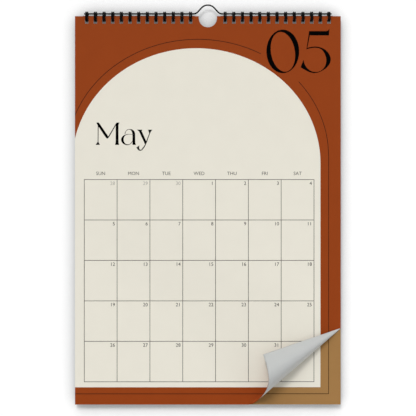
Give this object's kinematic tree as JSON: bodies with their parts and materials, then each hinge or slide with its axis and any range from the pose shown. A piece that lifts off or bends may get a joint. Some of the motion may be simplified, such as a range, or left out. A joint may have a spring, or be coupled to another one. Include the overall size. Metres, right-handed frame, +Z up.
{
  "type": "wall calendar",
  "caption": "Wire-bound wall calendar with a wire hanger, a printed month page on top and its lower right corner curled up.",
  "frame": {"origin": "underside of the hanger's bump, where the nail bears", "axes": "+X to the viewer's right, +Y into the wall, +Z up"},
  "size_m": [0.26, 0.0392, 0.3919],
  "materials": {
    "black_wire": "black plastic-coated steel wire, semi-gloss",
    "white_paper": "uncoated white card, matt",
    "ochre_ink": "printed ochre, matt",
    "rust_ink": "printed rust, matt",
    "cream_ink": "printed cream, matt",
    "dark_ink": "printed dark brown, matt",
    "grey_ink": "printed grey-brown, matt"
  },
  "bodies": {
    "hanger": {"hanger_wire": "black_wire"},
    "calendar": {"wire_loops_left": "black_wire", "wire_loops_right": "black_wire", "page_block": "white_paper", "next_ground": "ochre_ink", "next_panel": "cream_ink", "next_arch_line": "dark_ink", "next_grid": "grey_ink"},
    "front_page": {"front_sheet": "white_paper", "front_ground": "rust_ink", "front_panel": "cream_ink", "front_arch_line": "dark_ink", "front_grid": "grey_ink"}
  },
  "joints": [
    {"name": "hanger_swing", "type": "hinge", "parent": "hanger", "child": "calendar", "pos_m": [0, 0, -0.00825], "axis": [-1, 0, 0], "range_deg": [-90, 70]},
    {"name": "page_turn", "type": "hinge", "parent": "calendar", "child": "front_page", "pos_m": [0, 0, -0.01094], "axis": [-1, 0, 0], "range_deg": [0, 105]}
  ]
}
